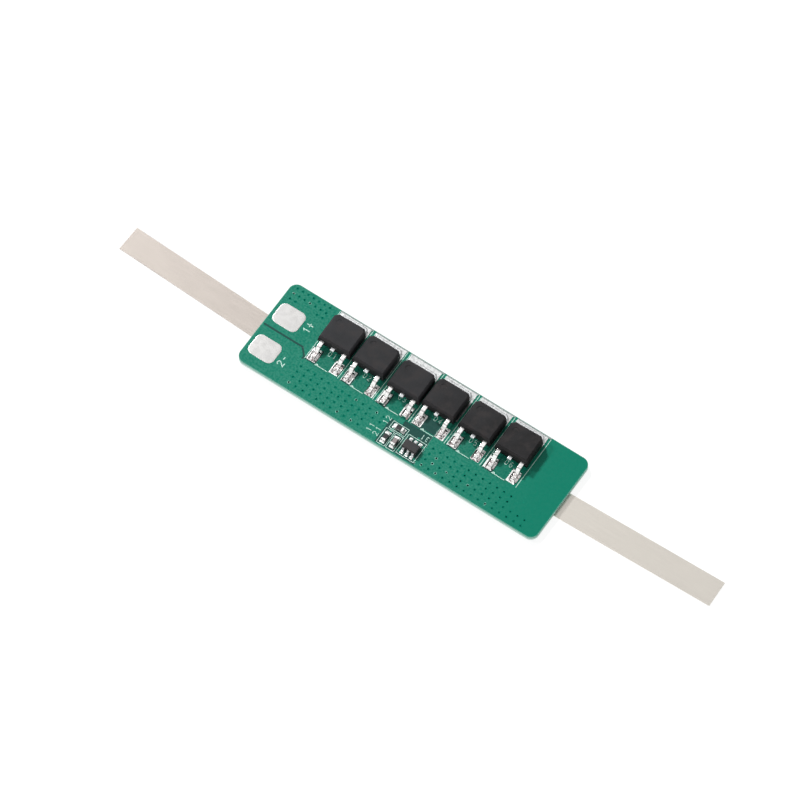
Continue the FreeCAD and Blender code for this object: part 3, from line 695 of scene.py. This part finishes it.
outlines, edge_lines = [], []
sides_end = BOX_NORTH - EDGE_WIDTH / 2
for number_in_row, (left, right) in enumerate(BOX_SIDES):
    middle = ROW_START + number_in_row * ROW_PITCH
    outlines.append(printed([(left, BOX_SOUTH), (left, sides_end)]))
    outlines.append(printed([(right, sides_end), (right, BOX_SOUTH)]))
    edge_lines.append(printed([(left, BOX_NORTH), (right, BOX_NORTH)], EDGE_WIDTH))
    outlines.append(printed([(middle + across, BOX_SOUTH) for across in SOUTH_LINE]))
    outlines.append(printed([(middle + across, BOX_SOUTH + up) for across, up in TICK],
                            TICK_WIDTH))
for low, high in PART_BOXES:
    box = rounded_rectangle(low, high, PART_BOX_CORNER, 2)
    outlines.append(printed(box, PART_LINE_WIDTH, closed=True))
new_piece("printed_outlines", outlines, ink)
new_piece("printed_edge_lines", edge_lines, rubbed_ink)

# %% Plain numbers and signs
SIGNS = {
    "0": [[(0.5, 1), (0.15, 0.9), (0, 0.6), (0, 0.4), (0.15, 0.1), (0.5, 0), (0.85, 0.1),
           (1, 0.4), (1, 0.6), (0.85, 0.9), (0.5, 1)]],
    "1": [[(0.2, 0.8), (0.6, 1), (0.6, 0)]],
    "2": [[(0.02, 0.78), (0.2, 0.96), (0.55, 1), (0.9, 0.88), (0.92, 0.62), (0, 0), (1, 0)]],
    "3": [[(0.05, 0.88), (0.4, 1), (0.85, 0.9), (0.85, 0.65), (0.45, 0.53), (0.95, 0.38),
           (0.92, 0.12), (0.5, 0), (0.02, 0.1)]],
    "4": [[(0.75, 0), (0.75, 1), (0, 0.3), (1, 0.3)]],
    "5": [[(0.9, 1), (0.15, 1), (0.1, 0.58), (0.6, 0.62), (0.95, 0.42), (0.9, 0.12), (0.5, 0),
           (0.02, 0.1)]],
    "6": [[(0.85, 0.95), (0.45, 1), (0.1, 0.7), (0, 0.3), (0.2, 0.04), (0.7, 0), (0.98, 0.25),
           (0.8, 0.52), (0.35, 0.55), (0.05, 0.38)]],
    "+": [[(0, 0.5), (1, 0.5)], [(0.5, 0), (0.5, 1)]],
    "-": [[(0.1, 0.5), (0.9, 0.5)]],
}
SIGN_GAP = 0.42


def lettered(text, start, quarter_turns, tall, wide, width):
    """Printed strokes of a short text.

    A stroke's points are scaled, moved along by the signs before it, turned by quarter turns
    and moved to the start.
    """
    angle = quarter_turns * math.pi / 2
    turn = np.array([(math.cos(angle), math.sin(angle)), (-math.sin(angle), math.cos(angle))])
    strokes = []
    for place_in_text, sign in enumerate(text):
        shift = place_in_text * (wide + SIGN_GAP)
        for stroke in SIGNS[sign]:
            points = np.asarray(stroke) * (wide, tall) + (shift, 0)
            strokes.append(printed(points @ turn + start, width))
    return strokes


MARKS = [
    # text, start, quarter turns, height and width of a sign, width of a stroke
    ("1+", (7.62, 10.62), 1, 1.22, 0.72, 0.19),
    ("2-", (7.55, 3.02), 1, 1.22, 0.72, 0.19),
    ("12", (28.25, 4.02), 1, 0.95, 0.52, 0.11),
    ("21", (28.02, 1.32), 1, 0.95, 0.52, 0.11),
    ("11", (26.72, 1.32), 1, 0.95, 0.52, 0.11),
    ("31", (35.60, 5.95), 2, 0.92, 0.40, 0.11),
]
ROW_MARK = (-0.42, 9.05)
for number_in_row in range(6):
    start = (ROW_START + number_in_row * ROW_PITCH + ROW_MARK[0], ROW_MARK[1])
    MARKS.append(("0%d" % (number_in_row + 1), start, 0, 0.95, 0.48, 0.10))
strokes = [stroke for mark in MARKS for stroke in lettered(*mark)]
new_piece("printed_marks", strokes, ink)

# %% [markdown]
# ## Tin, solder and nickel
#
# Tinned copper is bright and slightly wavy, because the tin froze from a liquid. Solder is
# the same metal, smoother, and round the feet it carries dark specks of burnt flux. Rolled
# nickel is warmer and carries fine lines along the strip; the left strip's nickel is painted
# darker than the right's, a painted shade.
# All of them are one function with other numbers: a metal colour, cloudy changes of tone and
# gloss, and a bump.

# %% Metal finishes
EVERY_HEIGHT = 9.0
TABS_FROM = 14.0


def metal(name, colour, dull, roughness, cloud_scale, wave_depth, stretch=(1.0, 1.0, 1.0),
          uneven=0.2, ripples=2.0, specks=None, specks_below=EVERY_HEIGHT, at_tabs=None):
    """A metal with clouds of tone between two colours, and waves of the given depth, which
    carry finer ripples where asked. The roughness varies by the uneven share. Specks of a
    third colour, a fifth of a millimetre wide, cover about a third of what lies below a height
    over the board. A fourth colour may take over at the tabs' side of the board."""
    material, tree, shader = new_material(name, colour, roughness, 1.0)
    place = vector(tree, "MULTIPLY", board_place(tree), stretch)
    cloud = noise(tree, place, cloud_scale, 3.0)
    tone = mix(tree, ramp(tree, cloud, 0.35, 0.75), colour, dull)
    if specks:
        height = parts_of(tree, board_place(tree))[2]
        low = ramp(tree, height, specks_below, specks_below + 0.15, 1.0, 0.0)
        speck = ramp(tree, noise(tree, place, 3.4, 2.0), 0.50, 0.60)
        tone = mix(tree, number(tree, "MULTIPLY", speck, low), tone, specks)
    if at_tabs:
        northwards = parts_of(tree, board_place(tree))[1]
        tone = mix(tree, ramp(tree, northwards, TABS_FROM - 0.1, TABS_FROM + 0.1), tone, at_tabs)
    tree.links.new(tone, shader.inputs["Base Color"])
    rough = ramp(tree, noise(tree, place, cloud_scale * 2.3, ripples), 0.25, 0.75,
                 roughness * (1 - uneven), roughness * (1 + uneven))
    tree.links.new(rough, shader.inputs["Roughness"])
    bump(tree, shader, noise(tree, place, cloud_scale * 1.7, ripples), wave_depth)
    return material


# %% The metals of this board
tin = metal("tinned_copper", (0.84, 0.85, 0.83), (0.70, 0.71, 0.70), roughness=0.34,
            cloud_scale=1.1, wave_depth=0.02, at_tabs=(0.58, 0.59, 0.59))
pad_tin = metal("tinned_pads", (0.80, 0.79, 0.775), (0.78, 0.77, 0.76), roughness=0.24,
                cloud_scale=0.5, wave_depth=0.002, uneven=0.04, ripples=0.0)
tinned_lead = metal("tinned_leads", (0.70, 0.71, 0.72), (0.56, 0.57, 0.58), roughness=0.30,
                    cloud_scale=2.2, wave_depth=0.012)
soldered_lead = metal("soldered_leads", (0.86, 0.85, 0.84), (0.70, 0.68, 0.67), roughness=0.30,
                      cloud_scale=2.2, wave_depth=0.012, specks=(0.30, 0.24, 0.24),
                      specks_below=0.66)
solder = metal("bright_solder", (0.83, 0.83, 0.82), (0.60, 0.59, 0.58), roughness=0.22,
               cloud_scale=2.6, wave_depth=0.03)
foot_solder = metal("foot_solder", (0.80, 0.79, 0.78), (0.60, 0.58, 0.57), roughness=0.21,
                    cloud_scale=2.6, wave_depth=0.015, specks=(0.24, 0.19, 0.19),
                    at_tabs=(0.50, 0.51, 0.51))
# painted shade: the left strip's nickel is painted darker than the right's
NICKEL_WITH_LEFT_PAINTED_SHADE = {"left": (0.640, 0.580, 0.530), "right": (0.84, 0.79, 0.72)}
ROLLED_LINES = (0.05, 3.0, 3.0)
for side, colour in NICKEL_WITH_LEFT_PAINTED_SHADE.items():
    worn = [value * 0.97 for value in colour]
    nickel = metal("rolled_nickel_" + side, colour, worn, roughness=0.25, cloud_scale=2.0,
                   wave_depth=0.0015, stretch=ROLLED_LINES, uneven=0.08)
    finish_nodes(nickel, "nickel_strip_" + side)
    print(nickel.name, "on the", side, "strip")
finish_nodes(tin, "drain_lands", "lead_lands", "control_chip_lands", "small_part_lands",
             "strip_land_left", "strip_land_right")
finish_nodes(solder, "control_chip_solder", "small_part_solder", "strip_solder_left",
             "strip_solder_right")

# %% [markdown]
# ## Domed terminal pads
#
# Liquid tin pulls itself into a low dome on a pad, with a tightly rounded rim. The pad is
# rings of a rounded rectangle, shrunk towards its middle: a few close ones climb a quarter
# circle at the rim, and the others a very flat parabola, so that the crown mirrors one even
# tone. The rim is frosted, or it would mirror the lamp in a line thinner than a pixel.

# %% Terminal pads
PAD_HALF = (2.55, 2.075)
PAD_CORNER = 1.1
PAD_RIM = 0.06
PAD_CROWN = 0.010
PAD_MIDDLES = {"plus": (3.2, 11.3), "minus": (3.2, 4.15)}
FROSTED_BELOW, FROSTED = PAD_RIM - 0.0005, 0.62


def domed_pad(middle):
    """Rings from the middle of the underside round the rim to the middle of the crown.

    On the rim, the size is one less a small share times one less the cosine of an angle,
    and the height is the rim's times the sine. On the crown, the height gains one less the
    square of the size.
    """
    outline = rounded_rectangle(-np.asarray(PAD_HALF), PAD_HALF, PAD_CORNER, 9)
    angle = np.linspace(0, math.pi / 2, 7)
    crown = np.array([0.9, 0.75, 0.5, 0.25, 0.0])
    rim_share = PAD_RIM / PAD_HALF[1]
    size = np.concatenate([[0.0], 1 - rim_share * (1 - np.cos(angle)), crown])
    lift = np.concatenate([[0.0], PAD_RIM * np.sin(angle), PAD_RIM + PAD_CROWN * (1 - crown ** 2)])
    flat = size[:, None, None] * outline[None] + np.asarray(middle)
    level = np.broadcast_to(lift[:, None, None], flat.shape[:2] + (1,))
    return on_board(np.concatenate([flat, level], axis=2))


def frost_below(material, height, roughness):
    """Dulls the skin below a height over the board: the larger of two roughnesses counts."""
    tree = material.node_tree
    socket = tree.nodes["Principled BSDF"].inputs["Roughness"]
    smooth = socket.links[0].from_socket
    frost = ramp(tree, parts_of(tree, board_place(tree))[2], height - 0.001, height + 0.001,
                 roughness, 0.0)
    tree.links.new(number(tree, "MAXIMUM", smooth, frost), socket)


frost_below(pad_tin, FROSTED_BELOW, FROSTED)
for sign, middle in PAD_MIDDLES.items():
    pad = new_piece("tinned_pad_" + sign, [domed_pad(middle)], pad_tin)
    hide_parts("terminal_pad_" + sign)

# %% [markdown]
# ## Rounded edges
#
# Moulded and stamped pieces have no knife edges, and a rounded edge catches the light along
# its length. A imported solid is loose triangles, so we copy it, merge its points, join the
# triangles of each flat face, and let a Bevel modifier round what is left. The copy then
# stands for the solid.

# %% Copies with rounded edges
PACKED_WELD = 2e-7
FLAT_TURN = math.radians(0.3)


def softened(node, name, material, width, segments=2, sharpest=30):
    """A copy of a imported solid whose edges, where they turn more than the given degrees, are
    rounded to the given width in millimetres."""
    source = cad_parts[node].data
    points = np.empty(len(source.vertices) * 3, np.float32)
    source.vertices.foreach_get("co", points)
    triangles = np.empty(len(source.loops), np.int32)
    source.loops.foreach_get("vertex_index", triangles)
    mesh = bpy.data.meshes.new(name)
    mesh.from_pydata(points.reshape(-1, 3).tolist(), [], triangles.reshape(-1, 3).tolist())
    shape = bmesh.new()
    shape.from_mesh(mesh)
    bmesh.ops.remove_doubles(shape, verts=shape.verts, dist=PACKED_WELD)
    bmesh.ops.dissolve_limit(shape, angle_limit=FLAT_TURN, verts=shape.verts,
                             edges=shape.edges)
    shape.to_mesh(mesh)
    shape.free()
    piece = dress(name, mesh, material)
    bevel = piece.modifiers.new("rounded_edges", "BEVEL")
    bevel.width = width * MM
    bevel.segments = segments
    bevel.limit_method = "ANGLE"
    bevel.angle_limit = math.radians(sharpest)
    bevel.harden_normals = True
    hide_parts(node)


# %% [markdown]
# ## Moulded bodies
#
# The mould's compound is charcoal with a fine grain. It was ground glass and resin, so the
# gloss is low and uneven, and the skin is a little browner in some places than in others.
# Every body comes from another spot in the batch, which the large clouds stand for.

# %% Moulding compound
def compound(name, dark, light, roughness):
    """Charcoal plastic, paler towards the west: clouds of tone several millimetres wide, and
    a grain of about a tenth of a millimetre in the tone and in the bump."""
    material, tree, shader = new_material(name, dark, roughness, 0.0, 0.2)
    place = board_place(tree)
    cloud = ramp(tree, noise(tree, place, 0.22, 4.0, 0.6), 0.3, 0.7)
    westwards = ramp(tree, parts_of(tree, place)[0], 8.0, 54.0, 1.0, 0.0)
    tone = number(tree, "MULTIPLY_ADD", cloud, 0.35, number(tree, "MULTIPLY", westwards, 0.65))
    grain = noise(tree, place, 9.0, 2.0)
    tone = number(tree, "MULTIPLY", tone, ramp(tree, grain, 0.2, 0.8, 0.8, 1.15))
    charcoal = mix(tree, tone, dark, light)
    browner = [light[0] * 1.25, light[1] * 0.98, light[2] * 0.85]
    brown = ramp(tree, noise(tree, place, 0.45, 4.0, 0.6), 0.42, 0.68, 0.0, 0.5)
    tree.links.new(mix(tree, brown, charcoal, browner), shader.inputs["Base Color"])
    bump(tree, shader, grain, 0.012)
    return material


transistor_plastic = compound("transistor_compound", (0.0055, 0.0050, 0.0055),
                              (0.0255, 0.0262, 0.0295), 0.58)
chip_plastic = compound("chip_compound", (0.028, 0.028, 0.030), (0.044, 0.046, 0.049), 0.5)
print("compounds:", transistor_plastic.name, "and", chip_plastic.name)

# %% Transistors and control chip
BODY_ROUNDING, STAMPED_ROUNDING = 0.09, 0.06
CHIP_ROUNDING, PIN_ROUNDING = 0.05, 0.02
for number_in_row in range(1, 7):
    node = "transistor_%d_" % number_in_row
    softened(node + "body", node + "moulding", transistor_plastic,
             BODY_ROUNDING, segments=3, sharpest=25)
    for part, name, metal_finish in (("drain_tab", "tab", tinned_lead),
                                     ("gate_lead", "gate", soldered_lead),
                                     ("source_lead", "source", soldered_lead)):
        softened(node + part, node + name, metal_finish, STAMPED_ROUNDING)
softened("control_chip_body", "control_chip_moulding", chip_plastic,
         CHIP_ROUNDING)
softened("control_chip_leads", "control_chip_pins", tinned_lead, PIN_ROUNDING)

# %% [markdown]
# ## Solder that climbs
#
# Solder wets both the land and the lead, so it leans on the metal like a bank of earth: high
# where it touches the lead, and running out on the land. A full drop has a nearly straight
# slope, the height that is left to the power of 1.1. The profile is swept round the outline
# of each foot, wider and higher at the toe and heel than at the sides, and round the three
# open sides of each tab.

# %% Solder round feet and tabs
SEATS = [
    # millimetres east and north of the transistor's place, degrees anticlockwise
    (0.04, 0.06, 1.0), (-0.12, -0.03, -0.4), (0.16, -0.46, 0.3), (-0.20, -0.08, 0.3),
    (0.02, -0.08, -0.5), (0.06, 0.08, 1.8),
]
ROW_FROM_SOUTH = BOARD_WIDTH - 4.5
LAND_TOP = 0.05
LAND_ROOM = 0.44
LEAST_REACH, MOST_REACH = 0.06, 0.42
LEAD_ASIDE = 2.286
FOOT_LOW, FOOT_HIGH, FOOT_CORNER = (-0.38, -5.90), (0.38, -4.55), 0.06
FOOT_RISE, MORE_AT_ENDS = 0.26, 0.12
TAB_SIDE, TAB_SOUTH, TAB_NORTH, TAB_CHAMFER = 2.65, 2.65, 3.70, 0.45
TAB_REACH, TAB_RISE = 0.24, 0.26
OUTWARDS = np.linspace(0, 1, 7)
SLOPE_ACROSS = np.concatenate([[-0.35], OUTWARDS, [1.0, -0.35, -0.35]])
SLOPE_UP = np.concatenate([[1.0], (1 - OUTWARDS) ** 1.1, [-0.01, -0.01, 1.0]])


def seated(grid, seat, number_in_row):
    """Turns a grid with its transistor and moves it to the transistor's place."""
    shift_x, shift_y, degrees = seat
    angle = math.radians(degrees)
    turn = np.array([(math.cos(angle), math.sin(angle)), (-math.sin(angle), math.cos(angle))])
    middle = (ROW_START + number_in_row * ROW_PITCH + shift_x, ROW_FROM_SOUTH + shift_y)
    flat = grid[..., :2] @ turn + middle
    return on_board(np.concatenate([flat, grid[..., 2:]], axis=-1))


def foot_fillet(aside, seat):
    """The sloping profile round a foot. It reaches out as far as the land has room on that
    side: the room all round, less or more by how far the transistor sits off its place."""
    path = rounded_rectangle(FOOT_LOW, FOOT_HIGH, FOOT_CORNER, 4) + (aside, 0.0)
    outward = -side_steps(path, True)
    room = LAND_ROOM - np.sign(outward) * np.asarray(seat[:2])
    reach = np.linalg.norm(outward * np.clip(room, LEAST_REACH, MOST_REACH), axis=1)
    rise = FOOT_RISE + MORE_AT_ENDS * np.abs(outward[:, 1])
    return sweep(path, -SLOPE_ACROSS, SLOPE_UP, True, reach, rise, LAND_TOP)


def tab_fillet():
    """The sloping profile round the open sides of a tab, both ends inside the moulding."""
    path = [(TAB_SIDE, TAB_SOUTH), (TAB_SIDE, TAB_NORTH - TAB_CHAMFER),
            (TAB_SIDE - TAB_CHAMFER, TAB_NORTH), (TAB_CHAMFER - TAB_SIDE, TAB_NORTH),
            (-TAB_SIDE, TAB_NORTH - TAB_CHAMFER), (-TAB_SIDE, TAB_SOUTH)]
    return sweep(path, -SLOPE_ACROSS, SLOPE_UP, spread=TAB_REACH, rise=TAB_RISE, base=LAND_TOP)


for number_in_row, seat in enumerate(SEATS):
    grids = [seated(grid, seat, number_in_row)
             for grid in (foot_fillet(-LEAD_ASIDE, seat), foot_fillet(LEAD_ASIDE, seat),
                          tab_fillet())]
    name = "transistor_%d_" % (number_in_row + 1)
    fillets = new_piece(name + "fillets", grids, foot_solder)
    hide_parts(name + "solder")

# %% [markdown]
# ## Resistors and capacitor
#
# A chip resistor is a white ceramic tile with a black glaze on top, and a chip capacitor is
# tan ceramic all through. Both have tinned caps over their ends. One function gives both
# bodies, with the glaze drawn by height.

# %% Ceramic bodies and their caps
GLAZE_FROM = 0.44
TILE_ROUNDING, CAP_ROUNDING = 0.03, 0.04


def ceramic(name, body, glaze=None):
    """A ceramic with a faint mottle, and glazed above a height over the board where asked."""
    material, tree, shader = new_material(name, body, 0.4, 0.0, 0.4)
    place = board_place(tree)
    mottle = ramp(tree, noise(tree, place, 4.0, 3.0), 0.3, 0.7, 0.0, 0.35)
    stone = mix(tree, mottle, body, [value * 0.6 for value in body])
    if glaze:
        glazed = ramp(tree, parts_of(tree, place)[2], GLAZE_FROM - 0.01, GLAZE_FROM + 0.01)
        stone = mix(tree, glazed, stone, glaze)
    tree.links.new(stone, shader.inputs["Base Color"])
    bump(tree, shader, noise(tree, place, 8.0, 2.0), 0.008)
    return material


resistor_ceramic = ceramic("resistor_ceramic", (0.62, 0.62, 0.60), (0.018, 0.018, 0.020))
capacitor_ceramic = ceramic("capacitor_ceramic", (0.28, 0.24, 0.24))
for part, stone, slot in (("resistor_1", resistor_ceramic, "resistor_ceramic"),
                          ("resistor_2", resistor_ceramic, "resistor_ceramic"),
                          ("capacitor", capacitor_ceramic, "capacitor_ceramic")):
    softened(part + "_body", part + "_tile", stone, TILE_ROUNDING)
    softened(part + "_end_caps", part + "_caps", tin, CAP_ROUNDING)
